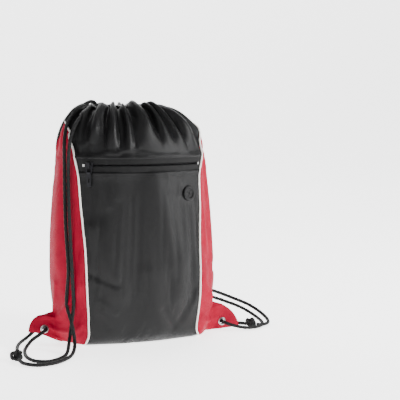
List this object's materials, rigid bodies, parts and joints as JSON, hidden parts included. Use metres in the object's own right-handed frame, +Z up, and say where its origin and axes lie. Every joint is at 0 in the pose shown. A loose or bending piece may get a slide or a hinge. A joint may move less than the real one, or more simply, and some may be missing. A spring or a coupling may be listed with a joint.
{
  "type": "drawstring backpack",
  "caption": "Filled fabric drawstring backpack with side panels, piping, a zipped front pocket, an earphone port, corner eyelets and cord straps.",
  "frame": {"origin": "on the floor, midway between the tips of the two lower ears, at half the bag's depth", "axes": "+X to the bag's right seen from the front, -Y out of the front with the pocket, +Z up"},
  "size_m": [0.4209, 0.2136, 0.3461],
  "materials": {
    "black_polyester": "woven, soft sheen",
    "red_polyester": "woven, soft sheen",
    "lining_polyester": "plain weave, matt",
    "piping_cover": "off-white woven tape over a cord",
    "zipper_tape": "herringbone tape",
    "zipper_coil": "nylon coil",
    "silver_metal": "plated, satin",
    "dark_metal": "gunmetal plating",
    "port_rubber": "matt moulded",
    "braided_cord": "braided polyester"
  },
  "bodies": {
    "bag": {"front_upper_panel": "black_polyester", "front_pocket_panel": "black_polyester", "pocket_lining": "lining_polyester", "left_side_panel": "red_polyester", "right_side_panel": "red_polyester", "back_panel": "black_polyester", "left_piping": "piping_cover", "right_piping": "piping_cover", "zipper_tape_upper": "zipper_tape", "zipper_tape_lower": "zipper_tape", "zipper_teeth_upper": "zipper_coil", "zipper_teeth_lower": "zipper_coil", "zipper_stop_left": "silver_metal", "zipper_stop_right": "silver_metal", "earphone_port_grommet": "port_rubber", "earphone_port_washer": "port_rubber", "left_eyelet": "silver_metal", "left_eyelet_washer": "silver_metal", "right_eyelet": "silver_metal", "right_eyelet_washer": "silver_metal", "left_cord": "braided_cord", "right_cord": "braided_cord", "left_cord_knot": "braided_cord", "right_cord_knot": "braided_cord"},
    "slider": {"slider_body": "dark_metal"},
    "link": {"pull_link": "silver_metal"},
    "tab": {"pull_tab": "dark_metal"}
  },
  "joints": [
    {"name": "zip_travel", "type": "hinge", "parent": "bag", "child": "slider", "pos_m": [-0.0085, 0.07329, 0.256], "axis": [0, 0, 1], "range_deg": [0, 61.2]},
    {"name": "link_swing", "type": "hinge", "parent": "slider", "child": "link", "pos_m": [-0.08694, -0.05935, 0.256], "axis": [-0.8607, 0.509, 0], "range_deg": [0, 130]},
    {"name": "tab_swing", "type": "hinge", "parent": "link", "child": "tab", "pos_m": [-0.08694, -0.05935, 0.2464], "axis": [-0.8607, 0.509, 0], "range_deg": [0, 45]}
  ]
}
